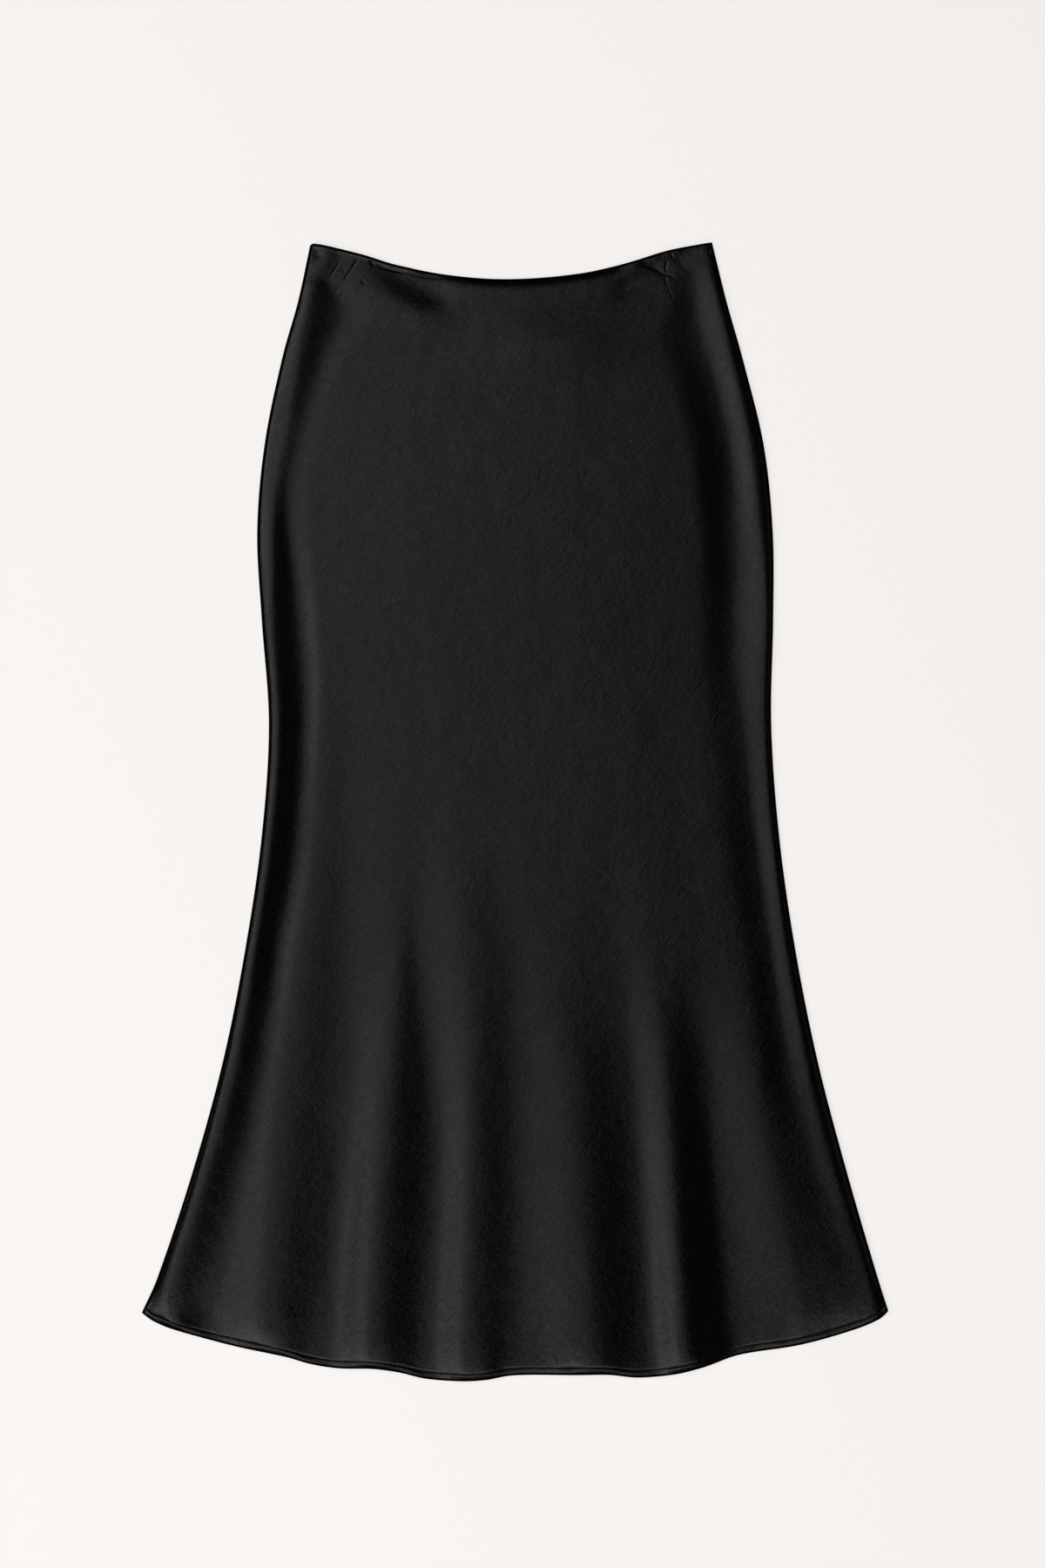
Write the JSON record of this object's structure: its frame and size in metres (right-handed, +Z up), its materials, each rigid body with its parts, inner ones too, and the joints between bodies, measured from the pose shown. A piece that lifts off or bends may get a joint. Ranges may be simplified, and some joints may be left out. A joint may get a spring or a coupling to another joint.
{
  "type": "slip skirt",
  "caption": "Midi slip skirt in black bias-cut satin with a fitted hip, soft flutes towards a narrow hem and a plain turned waist edge, laid flat with its front up.",
  "frame": {"origin": "middle of the skirt's length and width, on the surface that it lies on", "axes": "+X to the viewer's right as the front is seen, +Y along the length from the hem to the waist, +Z up, away from the surface"},
  "size_m": [0.5984, 0.9139, 0.0109],
  "materials": {
    "satin": "satin"
  },
  "bodies": {
    "root": {"front_panel": "satin", "front_waist_edge": "satin", "front_hem": "satin", "back_panel": "satin", "back_waist_edge": "satin", "back_hem": "satin"}
  },
  "joints": []
}
